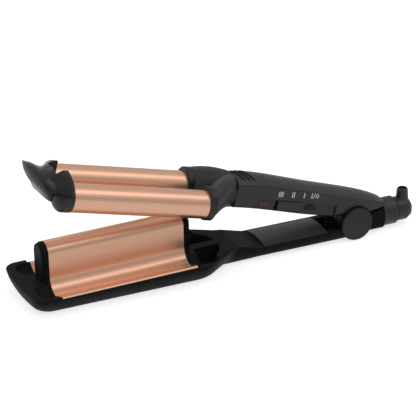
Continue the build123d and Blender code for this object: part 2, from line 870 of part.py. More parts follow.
with BuildPart() as saddle:
    # Grooved like a spool for the fingers, between the lip and the ring over the barrels
    loft(
        sections=[
            arch_face(across(arm, barrel_front_x - reach), half, rise, tip_foot_z)
            for reach, half, rise in saddle_stations
        ]
    )
    add(bow_form.part, mode=Mode.INTERSECT)
    slab(arm, barrel_front_x - tip_step, barrel_front_x + tip_step, -barrel_spacing, barrel_spacing, 0,
         arch_z, Mode.SUBTRACT)

with BuildPart() as thumb_lip:
    add(saddle.part)
    with BuildSketch(arm) as crescent:
        with Locations((lip_rear_x, 0)):
            Rectangle(2 * barrel_spacing, 2 * barrel_spacing)
            Ellipse(lip_inner_reach, lip_inner_half, mode=Mode.SUBTRACT)
        with Locations((lip_rear_x + barrel_spacing, 0)):
            Rectangle(2 * barrel_spacing, 2 * barrel_spacing, mode=Mode.SUBTRACT)
    extrude(amount=barrel_spacing, mode=Mode.INTERSECT)
keep(thumb_lip, "thumb_lip")

with BuildPart() as tip_cups:
    for side in sides.values():
        cup(arm, side * barrel_y, barrel_z, barrel_front_x, barrel_front_x - cup_length, cup_r, cup_nose)
    # Flat ledge over each cup
    with BuildSketch(beside(arm)):
        with BuildLine():
            Polyline(
                ledge_front,
                ledge_rear,
                (ledge_rear[0], barrel_spacing),
                (ledge_front[0], barrel_spacing),
                close=True,
            )
        make_face()
    extrude(amount=barrel_spacing, both=True, mode=Mode.SUBTRACT)

with BuildPart() as cool_tip:
    add(saddle.part)
    add(tip_cups.part)
    # Room for the fin as the barrels close
    disc(arm, 0, 0, fin_sweep_r, -fin_half - slot_gap, fin_half + slot_gap, Mode.SUBTRACT)
    for side in sides.values():
        with BuildSketch(across(arm, barrel_front_x - front_seat)):
            with Locations((side * barrel_y, barrel_z)):
                Circle(barrel_r + fit_gap)
        extrude(amount=front_seat + barrel_r, mode=Mode.SUBTRACT)
        with BuildSketch(across(arm, barrel_front_x - front_seat)):
            with Locations((side * barrel_y, barrel_z)):
                Circle(barrel_r - barrel_wall - fit_gap)
        extrude(amount=plug_length)
    add(thumb_lip.part, mode=Mode.SUBTRACT)
keep(cool_tip, "cool_tip")


def below_seam():
    """Side view of everything under the seam between the handle's lid and its sides."""
    with BuildSketch(beside(arm)) as face:
        with BuildLine():
            seam = Spline([(handle_front_x - 8, seam_line[0][1] + 0.6)] + seam_line
                          + [(tail_x + 6, seam_line[-1][1] - 1.2)])
            Polyline(seam @ 1, (tail_x + 6, -30), (handle_front_x - 8, -30), seam @ 0)
        make_face()
    return face.sketch


def panel_view():
    """Side view of the control panel's share of the handle."""
    with BuildSketch(beside(arm)) as face:
        with BuildLine():
            Polyline(*panel_outline, close=True)
        make_face()
    return face.sketch


with BuildPart() as handle_top_shell:
    handle_form()
    extrude(below_seam(), amount=40, both=True, mode=Mode.SUBTRACT)
    handle_form(inset=handle_wall, stations=hollow_stations, mode=Mode.SUBTRACT)
    for x, floor_z, lid_z in handle_screws:
        post(arm, x, 0, floor_z, lid_z, boss_r)
        post(arm, x, 0, floor_z, floor_z + handle_screw_grip, screw_r, Mode.SUBTRACT)
keep(handle_top_shell, "handle_top_shell")

with BuildPart() as grip_ribs:
    handle_form(inset=-rib_height)
    with BuildSketch(arm.offset(20)) as strips:
        for i in range(rib_count):
            with BuildLine():
                foot = (rib_foot_x + i * rib_pitch, rib_foot_y)
                head = (foot[0] - rib_lean, foot[1] + rib_reach)
                Polyline(
                    foot, (foot[0] + rib_width, foot[1]), (head[0] + rib_width, head[1]), head,
                    close=True,
                )
            make_face()
    extrude(amount=20, mode=Mode.INTERSECT)
    handle_form(mode=Mode.SUBTRACT)
keep(grip_ribs, "grip_ribs")

with BuildPart() as handle_side_shell:
    handle_form()
    extrude(below_seam(), amount=40, both=True, mode=Mode.INTERSECT)
    extrude(panel_view(), amount=40, both=True, mode=Mode.SUBTRACT)
    handle_form(inset=handle_wall, stations=hollow_stations, mode=Mode.SUBTRACT)
    for side in sides.values():
        disc(arm, 0, 0, drum_r + ear_relief, side * core_half, side * 30, Mode.SUBTRACT)
    disc(arm, 0, 0, core_r, -core_half, core_half)
    disc(arm, 0, 0, pin_r + fit_gap, -core_half, core_half, Mode.SUBTRACT)
    screw_hole(arm, *handle_screws[0][:2])
keep(handle_side_shell, "handle_side_shell")


def side_window(x, z, length, height, y_from, y_to, mode=Mode.ADD):
    """A square block or hole through the handle's -Y side."""
    with BuildSketch(beside(arm, y_from)) as face:
        with Locations((x, z)):
            Rectangle(length, height)
    extrude(face.sketch, amount=y_from - y_to, mode=mode)


def button_block(grow, drop, y_from, y_to, mode=Mode.ADD):
    """The power button's half-moon, grown by a gap and with its flat edge dropped, in depth."""
    with BuildSketch(beside(arm, y_from)) as face:
        with Locations((button_x, button_z)):
            Ellipse(button_r + grow, button_rise + grow)
        with Locations((button_x, button_z - drop - button_r)):
            Rectangle(3 * button_r, 2 * button_r, mode=Mode.SUBTRACT)
    extrude(face.sketch, amount=y_from - y_to, mode=mode)


knob_z = (knob_top_z + knob_bottom_z) / 2
knob_height = knob_top_z - knob_bottom_z
slot_length = knob_length + knob_travel + knob_gap * 2
slot_x = knob_x - knob_travel / 2
wall_inner = panel_half - panel_wall
flange_z = (knob_top_z + knob_bottom_z + flange + 2) / 2
flange_height = knob_height - 1
switch_z = board_low_z + 2.1

with BuildPart() as control_panel:
    handle_form()
    extrude(panel_view(), amount=panel_half, both=True, mode=Mode.INTERSECT)
    handle_form(handle_wall, handle_half - wall_inner, hollow_stations, Mode.SUBTRACT)
    side_window(slot_x, knob_z, slot_length, knob_height + 2 * knob_gap, -20, -wall_inner + 1,
                Mode.SUBTRACT)
    side_window(lens_x, lens_z, lens_length + 2 * fit_gap, lens_height + 2 * fit_gap, -20,
                -wall_inner + 1, Mode.SUBTRACT)
    button_block(knob_gap, knob_gap, -20, -wall_inner + 1, Mode.SUBTRACT)
    for x in board_posts:
        slab(arm, x - 1.5, x + 1.5, board_y - 1, board_y + board_thickness + 1, board_post_foot_z,
             board_low_z)
    screw_hole(arm, *handle_screws[1][:2])
keep(control_panel, "control_panel")

with BuildPart() as heat_knob:
    side_window(knob_x, knob_z, knob_length, knob_height, -panel_half - knob_proud, -knob_back)
    side_window(knob_x, flange_z, knob_length + 2 * flange, flange_height, -knob_back,
                -knob_back + flange_thickness)
    side_window(knob_x, switch_z, 2.4, 2.4, -knob_back + flange_thickness, board_y - 2)
keep(heat_knob, "heat_knob")

with BuildPart() as slide_switch:
    side_window(slot_x, switch_z, 16, 5, board_y - 3.6, board_y)
    side_window(slot_x, switch_z, 3.2 + knob_travel, 3.2, board_y - 5, board_y - 1.4, Mode.SUBTRACT)
keep(slide_switch, "slide_switch")

with BuildPart() as power_button:
    button_block(0.0, 0.0, -panel_half - button_proud, -knob_back)
    button_block(flange, 0.0, -knob_back, -knob_back + flange_thickness)
keep(power_button, "power_button")

with BuildPart() as push_switch:
    side_window(button_x, button_z + 1.6, 6, 4.6, board_y - 2.6, board_y)
    side_window(button_x, button_z + 1.6, 3, 2.4, -knob_back + flange_thickness + button_travel + 0.1,
                board_y - 2.6)
keep(push_switch, "push_switch")

with BuildPart() as indicator_lens:
    side_window(lens_x, lens_z, lens_length, lens_height, -panel_half - 0.2, -wall_inner)
keep(indicator_lens, "indicator_lens")

with BuildPart() as indicator_led:
    side_window(lens_x, lens_z, 3, 3, -wall_inner + 0.3, board_y)
keep(indicator_led, "indicator_led")

with BuildPart() as circuit_board:
    side_window((board_front_x + board_rear_x) / 2, (board_low_z + board_top_z) / 2,
                board_rear_x - board_front_x, board_top_z - board_low_z, board_y,
                board_y + board_thickness)
keep(circuit_board, "circuit_board")

with BuildPart() as handle_screw_set:
    for x, floor_z, lid_z in handle_screws:
        screw(arm, x, 0, floor_z - screw_shoulder - screw_head_h, screw_head_h + screw_shoulder + 6)
keep(handle_screw_set, "handle_screws")
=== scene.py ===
import json
import math

import bmesh
import bpy
from mathutils import Matrix, Vector
from mathutils.bvhtree import BVHTree


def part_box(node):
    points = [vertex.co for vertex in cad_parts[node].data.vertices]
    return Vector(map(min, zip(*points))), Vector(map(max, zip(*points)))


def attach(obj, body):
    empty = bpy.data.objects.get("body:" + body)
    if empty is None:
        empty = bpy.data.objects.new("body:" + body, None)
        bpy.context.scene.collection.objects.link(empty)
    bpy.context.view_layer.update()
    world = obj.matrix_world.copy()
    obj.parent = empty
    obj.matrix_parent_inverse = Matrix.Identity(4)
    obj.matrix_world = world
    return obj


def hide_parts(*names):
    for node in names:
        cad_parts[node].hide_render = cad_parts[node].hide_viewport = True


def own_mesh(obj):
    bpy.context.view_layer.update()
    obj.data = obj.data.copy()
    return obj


# Hair waver, standing open on its lower arm. Metres, with X from the cool tip to the cord and Z up.
# A size or place whose name ends in MM or _mm is in millimetres.

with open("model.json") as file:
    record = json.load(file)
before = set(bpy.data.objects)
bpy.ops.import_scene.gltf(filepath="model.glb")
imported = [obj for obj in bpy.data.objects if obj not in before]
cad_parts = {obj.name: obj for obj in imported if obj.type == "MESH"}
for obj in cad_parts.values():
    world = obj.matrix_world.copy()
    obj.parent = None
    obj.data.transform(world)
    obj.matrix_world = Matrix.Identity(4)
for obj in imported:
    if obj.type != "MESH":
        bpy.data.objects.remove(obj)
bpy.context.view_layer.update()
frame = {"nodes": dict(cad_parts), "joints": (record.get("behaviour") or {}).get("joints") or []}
scene = bpy.context.scene
nodes = frame["nodes"]
joints = {joint["name"]: joint for joint in frame["joints"]}

MM = 0.001
HINGE = Vector(joints["jaw_hinge"]["pos_m"])
# The selector slides along the upper arm, so its axis gives the slope at which that arm stands open
SLIDE = Vector(joints["heat_slide"]["axis"])
OPEN_SLOPE = math.atan2(SLIDE.z, -SLIDE.x)
# The wave plate slopes the other way, to where the upper arm lies when closed
PLATE_SLOPE = OPEN_SLOPE - math.radians(joints["jaw_hinge"]["range_deg"][1])
# The upper arm's own frame: X along the arm from the hinge, Z square to it
ARM = Matrix.Translation(HINGE) @ Matrix.Rotation(OPEN_SLOPE, 4, "Y")


# ------------------------------------------------------------------ materials


def linear(hex_colour):
    """Scene-linear colour of an sRGB hex value."""
    values = [int(hex_colour[i : i + 2], 16) / 255 for i in (1, 3, 5)]
    return tuple(v / 12.92 if v <= 0.04045 else ((v + 0.055) / 1.055) ** 2.4 for v in values) + (1.0,)


def grey(level):
    """A scene-linear grey."""
    return (level, level, level, 1.0)


def add(tree, kind, sockets=None, stops=(), **settings):
    """A shader node with its settings, its colour stops, and a value, node or output for each socket."""
    made = tree.nodes.new(kind)
    for name, value in settings.items():
        setattr(made, name, value)
    if stops:
        elements = made.color_ramp.elements
        while len(elements) < len(stops):
            elements.new(0.5)
        for element, (position, colour) in zip(elements, stops):
            element.position = position
            element.color = colour
    for socket, given in (sockets or {}).items():
        if isinstance(given, bpy.types.Node):
            given = given.outputs[0]
        if isinstance(given, bpy.types.NodeSocket):
            tree.links.new(given, made.inputs[socket])
        else:
            made.inputs[socket].default_value = given
    return made


def material(name):
    """A new material and its empty node tree."""
    made = bpy.data.materials.new(name)
    made.use_nodes = True
    made.node_tree.nodes.clear()
    return made, made.node_tree


# Noise values lie mostly in this range, so it is the part that is stretched over a finish's gloss
NOISE_LOW = 0.3
NOISE_HIGH = 0.7
# Breadth of the patches in which a moulding's tone and gloss drift
PATCH_MM = 26.3
# Real spark-eroded grain is under 0.1 mm and wouldn't show, so it is drawn several times as coarse
GRAIN_MM = 0.385


def moulding(
    name, low, high, rough, depth_mm, grain_mm=GRAIN_MM, edge_mm=0.4, gloss=0.5, relief=None, strength=0.35
):
    """Moulded plastic: fine grain or a moulded relief, slightly uneven gloss and softly rounded edges."""
    made, tree = material(name)
    place = add(tree, "ShaderNodeTexCoord").outputs["Object"]
    patches = add(tree, "ShaderNodeTexNoise", {"Vector": place, "Scale": 1 / (PATCH_MM * MM), "Detail": 2.0})
    if relief:
        height = relief(tree, place)
    else:
        grain = {"Vector": place, "Scale": 1 / (grain_mm * MM), "Detail": 3.0}
        height = add(tree, "ShaderNodeTexNoise", grain)
    corners = add(tree, "ShaderNodeBevel", {"Radius": edge_mm * MM}, samples=4)
    surface = add(
        tree,
        "ShaderNodeBump",
        {"Height": height, "Normal": corners, "Strength": strength, "Distance": depth_mm * MM},
    )
    tone = add(tree, "ShaderNodeValToRGB", {"Fac": patches}, stops=((0.0, linear(low)), (1.0, linear(high))))
    roughness = add(
        tree,
        "ShaderNodeMapRange",
        {
            "Value": patches,
            "From Min": NOISE_LOW,
            "From Max": NOISE_HIGH,
            "To Min": rough - 0.03,
            "To Max": rough + 0.04,
        },
    )
    shader = add(
        tree,
        "ShaderNodeBsdfPrincipled",
        {"Base Color": tone, "Roughness": roughness, "Normal": surface, "Specular IOR Level": gloss},
    )
    add(tree, "ShaderNodeOutputMaterial", {"Surface": shader})
    return made


# The lip's rim is a slanting plane through this point of the upper arm's frame, square to this direction
LIP_RIM_MM = Vector((-293.5, 0, 30))
LIP_SLANT = Vector((20, 0, 17)).normalized()
GROOVE_PITCH_MM = 1.3
# The grooves start this far below the rim
GROOVE_START_MM = 0.3


def lip_grooves(tree, place):
    """Height of the finger grooves round the lip, which run level with its rim."""
    rim = ARM @ (LIP_RIM_MM * MM)
    square_to_rim = ARM.to_3x3() @ LIP_SLANT
    from_rim = add(tree, "ShaderNodeVectorMath", {0: place, 1: rim}, operation="SUBTRACT")
    above = add(tree, "ShaderNodeVectorMath", {0: from_rim, 1: square_to_rim}, operation="DOT_PRODUCT")
    distance = above.outputs["Value"]
    radians_per_metre = 2 * math.pi / (GROOVE_PITCH_MM * MM)
    turns = add(tree, "ShaderNodeMath", {0: distance, 1: radians_per_metre}, operation="MULTIPLY")
    wave = add(tree, "ShaderNodeMath", {0: turns}, operation="COSINE")
    band = add(
        tree,
        "ShaderNodeMapRange",
        {
            "Value": distance,
            "From Min": 0.0,
            "From Max": -GROOVE_START_MM * MM,
            "To Min": 0.0,
            "To Max": 1.0,
        },
    )
    return add(tree, "ShaderNodeMath", {0: wave, 1: band}, operation="MULTIPLY")


# Drawing and rolling lines in the aluminium under its anodised layer. Real ones are finer, and these are
# drawn as coarse as they need to be to show.
STREAK_LENGTH_MM = 33.0
STREAK_WIDTH_MM = 0.7
# Breadth of the patches in which the dye's tone drifts
DYE_PATCH_MM = 45.0


def anodised(name, low, high, rough, metallic, slope):
    """Satin anodised aluminium: dyed metal with a faint drawn grain along the slope of its arm.

    The clear oxide scatters part of the light, so the metal is a little under fully metallic.
    """
    made, tree = material(name)
    place = add(tree, "ShaderNodeTexCoord").outputs["Object"]
    streak = (STREAK_LENGTH_MM * MM, STREAK_WIDTH_MM * MM, STREAK_WIDTH_MM * MM)
    along = add(
        tree,
        "ShaderNodeMapping",
        {"Vector": place, "Rotation": (0, slope, 0), "Scale": streak},
        vector_type="TEXTURE",
    )
    streaks = add(tree, "ShaderNodeTexNoise", {"Vector": along, "Scale": 1.0, "Detail": 4.0})
    dye = {"Vector": place, "Scale": 1 / (DYE_PATCH_MM * MM), "Detail": 2.0}
    patches = add(tree, "ShaderNodeTexNoise", dye)
    corners = add(tree, "ShaderNodeBevel", {"Radius": 0.3 * MM}, samples=4)
    surface = add(
        tree,
        "ShaderNodeBump",
        {"Height": streaks, "Normal": corners, "Strength": 0.006, "Distance": 0.01 * MM},
    )
    tone = add(tree, "ShaderNodeValToRGB", {"Fac": patches}, stops=((0.0, linear(low)), (1.0, linear(high))))
    roughness = add(
        tree,
        "ShaderNodeMapRange",
        {
            "Value": streaks,
            "From Min": NOISE_LOW,
            "From Max": NOISE_HIGH,
            "To Min": rough - 0.006,
            "To Max": rough + 0.006,
        },
    )
    shader = add(
        tree,
        "ShaderNodeBsdfPrincipled",
        {"Base Color": tone, "Roughness": roughness, "Normal": surface, "Metallic": metallic},
    )
    add(tree, "ShaderNodeOutputMaterial", {"Surface": shader})
    return made


# Breadth of the smears left by tools and drawing dies on bare metal
SMEAR_MM = 1.1


def bare_metal(name, colour, rough):
    """Turned, drawn or extruded metal with a slightly smeared gloss."""
    made, tree = material(name)
    place = add(tree, "ShaderNodeTexCoord").outputs["Object"]
    smears = add(tree, "ShaderNodeTexNoise", {"Vector": place, "Scale": 1 / (SMEAR_MM * MM), "Detail": 2.0})
    roughness = add(
        tree,
        "ShaderNodeMapRange",
        {
            "Value": smears,
            "From Min": NOISE_LOW,
            "From Max": NOISE_HIGH,
            "To Min": rough - 0.05,
            "To Max": rough + 0.05,
        },
    )
    shader = add(
        tree,
        "ShaderNodeBsdfPrincipled",
        {"Base Color": linear(colour), "Roughness": roughness, "Metallic": 1.0},
    )
    add(tree, "ShaderNodeOutputMaterial", {"Surface": shader})
    return made


# Drawn tube in satin rose-gold dye: one soft bright band along each barrel
barrel_metal = anodised("anodised_rose_gold_tube", "#F3C0A1", "#F6C4A6", 0.30, 0.85, OPEN_SLOPE)
# Pressed sheet from the same dye bath, which scatters more light where forming stretched its oxide
plate_metal = anodised("anodised_rose_gold_sheet", "#F0BE9F", "#F4C2A4", 0.30, 0.7, PLATE_SLOPE)
# Matt spark-eroded nylon of the jaw and its arm, nearly without reflections
hull_plastic = moulding("matt_moulded_nylon_jaw", "#191919", "#1C1C1C", 0.5, 0.05, gloss=0.06)
# The crowned cover, moulded apart, a lighter satin black than the jaw
cover_plastic = moulding("satin_moulded_nylon_cover", "#303030", "#343434", 0.45, 0.05)
# Satin black of the handle, with broad soft highlights
arm_plastic = moulding("satin_moulded_nylon_handle", "#272727", "#2B2B2B", 0.40, 0.04)
# The control panel, a darker satin insert in the handle's side
panel_plastic = moulding("satin_moulded_nylon_panel", "#181818", "#1B1B1B", 0.42, 0.04)
# Glass-filled, heat-proof plastic from a polished tool: the glossiest black
tip_plastic = moulding("polished_glass_filled_nylon", "#121314", "#161718", 0.24, 0.03, edge_mm=0.6)
# The same plastic with moulded finger grooves
lip_plastic = moulding(
    "grooved_glass_filled_nylon",
    "#121314",
    "#161718",
    0.26,
    0.6,
    edge_mm=0.6,
    relief=lip_grooves,
    strength=0.8,
)
# Insulating rings behind the barrels, smooth and cool black
collar_plastic = moulding("smooth_moulded_phenolic", "#141516", "#18191A", 0.38, 0.04, grain_mm=0.31)
# Hinge discs, the mattest of the large mouldings
cap_plastic = moulding("matt_moulded_abs_cap", "#1B1B1B", "#1E1E1E", 0.55, 0.05)
# Selector knob with a coarse mottled grip texture
knob_plastic = moulding("coarse_moulded_abs_knob", "#1F1F1F", "#3C3C3C", 0.5, 1.2, grain_mm=1.6, edge_mm=0.2)
# Power key, the darkest piece of the handle
key_plastic = moulding(
    "smooth_moulded_abs_key", "#050505", "#070707", 0.35, 0.04, grain_mm=0.67, edge_mm=0.2, gloss=0.3
)
# Grip ribs of overmoulded rubber, dull and nearly black
rib_rubber = moulding("overmoulded_rubber", "#0B0B0B", "#0E0E0E", 0.6, 0.05, grain_mm=0.5, edge_mm=0.2)
# Unlit indicator window, a dull red
lens_red = moulding("tinted_acrylic_lens", "#5A2026", "#66262C", 0.35, 0.03, grain_mm=1.1, edge_mm=0.2)
# Circuit board under green solder mask
board_green = moulding("solder_masked_board", "#0F4A26", "#125A2E", 0.3, 0.03, grain_mm=1.4, edge_mm=0.1)
# Switch bodies of glossy thermoset
switch_black = moulding("glossy_thermoset", "#101010", "#141414", 0.25, 0.02, grain_mm=1.1, edge_mm=0.1)
# Pad-printed white of the marks
print_white = moulding("pad_printed_white_ink", "#FFF4F0", "#FFFAF8", 0.5, 0.01, grain_mm=1.1, edge_mm=0.05)
# Shadowed gap of the seam
seam_black = moulding("shadowed_seam", "#060606", "#090909", 0.7, 0.01, grain_mm=1.1, edge_mm=0.05)
# Zinc-bright screws, pin and cut-out, spring wire darkened as painted shade, and the heaters' extruded
# spreaders
plain_steel = bare_metal("turned_steel", "#B8B8BA", 0.32)
# The spring wire's dark grey is painted shade, standing for the shadow that the coil lies in
painted_shade_steel = bare_metal("spring_wire_in_painted_shade", "#2A2A2B", 0.45)
heater_metal = bare_metal("extruded_aluminium", "#C8C8CA", 0.38)

FINISHES = {
    barrel_metal: ("barrel_left", "barrel_right"),
    plate_metal: ("wave_plate",),
    hull_plastic: ("lower_arm_shell", "fin_cap_front", "fin_cap_rear", "plate_cradle"),
    cover_plastic: ("lower_arm_cover",),
    arm_plastic: ("barrel_yoke", "handle_top_shell", "handle_side_shell", "swivel_collar", "cord_swivel"),
    panel_plastic: ("control_panel",),
    tip_plastic: ("cool_tip",),
    lip_plastic: ("thumb_lip",),
    collar_plastic: ("barrel_collar_left", "barrel_collar_right"),
    cap_plastic: ("hinge_cap_left", "hinge_cap_right"),
    knob_plastic: ("heat_knob",),
    key_plastic: ("power_button",),
    rib_rubber: ("grip_ribs",),
    lens_red: ("indicator_lens", "indicator_led"),
    board_green: ("circuit_board",),
    switch_black: ("slide_switch", "push_switch"),
    plain_steel: ("hinge_pin", "lower_screws", "handle_screws", "thermal_fuse"),
    painted_shade_steel: ("return_spring",),
    heater_metal: ("plate_heater", "barrel_heater_left", "barrel_heater_right"),
}
for finish, names in FINISHES.items():
    for name in names:
        nodes[name].data.materials.clear()
        nodes[name].data.materials.append(finish)


# ------------------------------------------------------------------ new pieces


def object_of(name, bm, finish):
    """An object made from a bmesh, with its faces outwards and one finish."""
    bmesh.ops.recalc_face_normals(bm, faces=bm.faces)
    mesh = bpy.data.meshes.new(name)
    bm.to_mesh(mesh)
    bm.free()
    mesh.materials.append(finish)
    made = bpy.data.objects.new(name, mesh)
    scene.collection.objects.link(made)
    return made


def surface_of(*names):
    """The faces of some CAD pieces, for laying things on them."""
    faces = bmesh.new()
    for name in names:
        faces.from_mesh(nodes[name].data)
    surface = BVHTree.FromBMesh(faces)
    faces.free()
    return surface


def outwards(side):
    """The upper arm's direction out of its side, -1 for the control side and 1 for the far side."""
    return (ARM.to_3x3() @ Vector((0, side, 0))).normalized()


def side_point(surface, x_mm, z_mm, side, lift_mm):
    """The point on the handle's side at x and z in the arm's frame, lifted off it."""
    out = outwards(side)
    clear_of_handle = 0.05
    start = ARM @ Vector((x_mm * MM, 0, z_mm * MM)) + out * clear_of_handle
    hit = surface.ray_cast(start, -out)[0]
    return hit + out * lift_mm * MM


def ribbon(bm, upper, lower, side, depth_mm):
    """A thin raised band between two rows of points on the handle's side. A closed row makes a ring."""
    sheet = bmesh.ops.create_grid(bm, x_segments=len(upper) - 1, y_segments=1, size=1.0)["verts"]
    # The grid's lower row comes first, then its upper one, each from its first point to its last
    sheet.sort(key=lambda vert: (vert.co.y, vert.co.x))
    half_depth = outwards(side) * depth_mm * MM / 2
    for vert, point in zip(sheet, lower + upper):
        vert.co = point - half_depth
    bmesh.ops.remove_doubles(bm, verts=sheet, dist=0.001 * MM)
    faces = list(dict.fromkeys(face for vert in sheet if vert.is_valid for face in vert.link_faces))
    raised = bmesh.ops.extrude_face_region(bm, geom=faces, use_keep_orig=True)["geom"]
    front = [part for part in raised if isinstance(part, bmesh.types.BMVert)]
    bmesh.ops.translate(bm, verts=front, vec=half_depth * 2)


# Marks printed above the selector and the power key. Places are in the upper arm's frame.
MARK_FOOT_MM = 19.0
MARK_HEAD_MM = 23.4
MARK_LIFT_MM = 0.02
INK_DEPTH_MM = 0.03
BAR_WIDTH_MM = 1.0
BAR_PITCH_MM = 1.6
# Middle of each numeral and its count of bars: III, II and I
NUMERALS_MM = ((-76.4, 3), (-64.9, 2), (-54.6, 1))
# The power mark I/O: the bar, the foot and head of the slash, and the middle of the ring
POWER_BAR_MM = -47.6
SLASH_FOOT_MM = -46.2
SLASH_HEAD_MM = -44.9
SLASH_WIDTH_MM = 0.8
RING_MM = -42.6
RING_HALF_WIDTH_MM = 1.6
RING_HALF_HEIGHT_MM = 1.9
RING_STROKE_WIDTH_MM = 0.85
RING_STROKE_HEIGHT_MM = 0.7
RING_STEPS = 16


def mark_point(surface, x_mm, z_mm):
    """A point of the printed marks on the control side."""
    return side_point(surface, x_mm, z_mm, -1, MARK_LIFT_MM)


def printed_bar(marks, surface, foot_mm, head_mm, width_mm):
    """One printed bar from its foot to its head."""
    rows = []
    for edge_mm in (-width_mm / 2, width_mm / 2):
        row = []
        for share in (0.0, 0.5, 1.0):
            x_mm = foot_mm + (head_mm - foot_mm) * share + edge_mm
            z_mm = MARK_FOOT_MM + (MARK_HEAD_MM - MARK_FOOT_MM) * share
            row.append(mark_point(surface, x_mm, z_mm))
        rows.append(row)
    ribbon(marks, rows[0], rows[1], -1, INK_DEPTH_MM)


def printed_ring(marks, surface):
    """The ring of the power mark."""
    middle_mm = (MARK_FOOT_MM + MARK_HEAD_MM) / 2
    outer, inner = [], []
    for step in range(RING_STEPS + 1):
        angle = 2 * math.pi * step / RING_STEPS
        across, up = math.cos(angle), math.sin(angle)
        outer.append(
            mark_point(surface, RING_MM + RING_HALF_WIDTH_MM * across, middle_mm + RING_HALF_HEIGHT_MM * up)
        )
        inner.append(
            mark_point(
                surface,
                RING_MM + (RING_HALF_WIDTH_MM - RING_STROKE_WIDTH_MM) * across,
                middle_mm + (RING_HALF_HEIGHT_MM - RING_STROKE_HEIGHT_MM) * up,
            )
        )
    ribbon(marks, outer, inner, -1, INK_DEPTH_MM)


def control_marks():
    """The marks III, II, I and I/O, printed on the control side."""
    surface = surface_of("handle_side_shell")
    marks = bmesh.new()
    for middle_mm, count in NUMERALS_MM:
        for bar in range(count):
            x_mm = middle_mm + (bar - (count - 1) / 2) * BAR_PITCH_MM
            printed_bar(marks, surface, x_mm, x_mm, BAR_WIDTH_MM)
    printed_bar(marks, surface, POWER_BAR_MM, POWER_BAR_MM, BAR_WIDTH_MM)
    printed_bar(marks, surface, SLASH_FOOT_MM, SLASH_HEAD_MM, SLASH_WIDTH_MM)
    printed_ring(marks, surface)
    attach(object_of("control_marks", marks, print_white), "upper_arm")


# Stations of the seam between the handle's lid and its sides, as x and z in the upper arm's frame
SEAM_MM = ((-116.0, 26.5), (-60.0, 25.0), (-16.0, 21.4), (10.0, 19.2), (22.0, 17.6))
SEAM_FRONT_MM = -115.5
SEAM_REAR_MM = 21.5
SEAM_STEPS = 60
SEAM_HALF_WIDTH_MM = 0.13
SEAM_DEPTH_MM = 0.08


def seam_height(x_mm):
    """Height of the seam at x, on the one smooth polynomial through its stations."""
    total = 0.0
    for station_x, station_z in SEAM_MM:
        share = 1.0
        for other_x, _ in SEAM_MM:
            if other_x != station_x:
                share *= (x_mm - other_x) / (station_x - other_x)
        total += share * station_z
    return total


def handle_seam():
    """The dark line of the seam, along both sides of the handle."""
    surface = surface_of("handle_side_shell", "handle_top_shell")
    step_mm = (SEAM_REAR_MM - SEAM_FRONT_MM) / SEAM_STEPS
    stations = [SEAM_FRONT_MM + step_mm * step for step in range(SEAM_STEPS + 1)]
    seam = bmesh.new()
    for side in (-1, 1):
        upper, lower = (
            [side_point(surface, x_mm, seam_height(x_mm) + edge_mm, side, 0.0) for x_mm in stations]
            for edge_mm in (SEAM_HALF_WIDTH_MM, -SEAM_HALF_WIDTH_MM)
        )
        ribbon(seam, upper, lower, side, SEAM_DEPTH_MM)
    line = object_of("handle_seam", seam, seam_black)
    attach(line, "upper_arm")


# The return spring's coil, as wound at rest
SPRING_TURNS = 5
STEPS_PER_TURN = 24
COIL_RADIUS_MM = 3.2
WIRE_RADIUS_MM = 0.55
WIRE_SIDES = 10


def spring_coil():
    """The return spring in the place of its CAD coil."""
    low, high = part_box("return_spring")
    axis_x = (low.x + high.x) / 2
    coil_radius = COIL_RADIUS_MM * MM
    wire_radius = WIRE_RADIUS_MM * MM
    steps = SPRING_TURNS * STEPS_PER_TURN
    first = Matrix.Translation((axis_x + coil_radius, 0, low.z + wire_radius))
    coil = bmesh.new()
    section = bmesh.ops.create_circle(
        coil, segments=WIRE_SIDES, radius=wire_radius, matrix=first @ Matrix.Rotation(math.pi / 2, 4, "X")
    )["verts"]
    bmesh.ops.spin(
        coil,
        geom=section + list(coil.edges),
        cent=(axis_x, 0, 0),
        axis=(0, 0, 1),
        dvec=(0, 0, (high.z - low.z - 2 * wire_radius) / steps),
        angle=2 * math.pi * SPRING_TURNS,
        steps=steps,
    )
    bmesh.ops.holes_fill(coil, edges=[edge for edge in coil.edges if edge.is_boundary], sides=0)
    # The coil's dark wire colour is painted shade
    spring = object_of("spring_coil", coil, painted_shade_steel)
    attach(spring, "lower_arm")
    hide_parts("return_spring")
    # The handle's underside comes down most at the coil's front edge
    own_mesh(spring)


# Arc moulded on the near hinge disc: where it starts and how far it sweeps, from the rear upwards
ARC_START = math.radians(62)
ARC_SWEEP = math.radians(130)
ARC_STEPS = 32
# Its section, as radius and rise: a low flat-topped bead
ARC_SECTION_MM = ((11.2, 0.0), (11.6, 0.28), (12.3, 0.28), (12.7, 0.0))
# The face of the disc under the arc
DISC_FACE_MM = -17.15


def hinge_cap_relief():
    """The arc on the near hinge disc, spun about the hinge and fading out at both ends."""
    arc = bmesh.new()
    start = Vector((math.cos(ARC_START), 0, math.sin(ARC_START)))
    face = Vector((0, DISC_FACE_MM * MM, 0))
    section = [
        arc.verts.new(HINGE + face + start * radius_mm * MM - Vector((0, rise_mm * MM, 0)))
        for radius_mm, rise_mm in ARC_SECTION_MM
    ]
    outline = [arc.edges.new(pair) for pair in zip(section, section[1:] + section[:1])]
    bmesh.ops.spin(
        arc,
        geom=section + outline,
        cent=HINGE,
        axis=(0, -1, 0),
        dvec=(0, 0, 0),
        angle=ARC_SWEEP,
        steps=ARC_STEPS,
    )
    for vert in arc.verts:
        place = vert.co - HINGE
        share = (math.atan2(place.z, place.x) - ARC_START) % (2 * math.pi) / ARC_SWEEP
        fade = max(math.sin(math.pi * min(share, 1.0)), 0.0) ** 0.5
        vert.co.y = HINGE.y + face.y + (place.y - face.y) * fade
    bmesh.ops.holes_fill(arc, edges=[edge for edge in arc.edges if edge.is_boundary], sides=0)
    relief = object_of("hinge_cap_relief", arc, cap_plastic)
    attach(relief, "lower_arm")


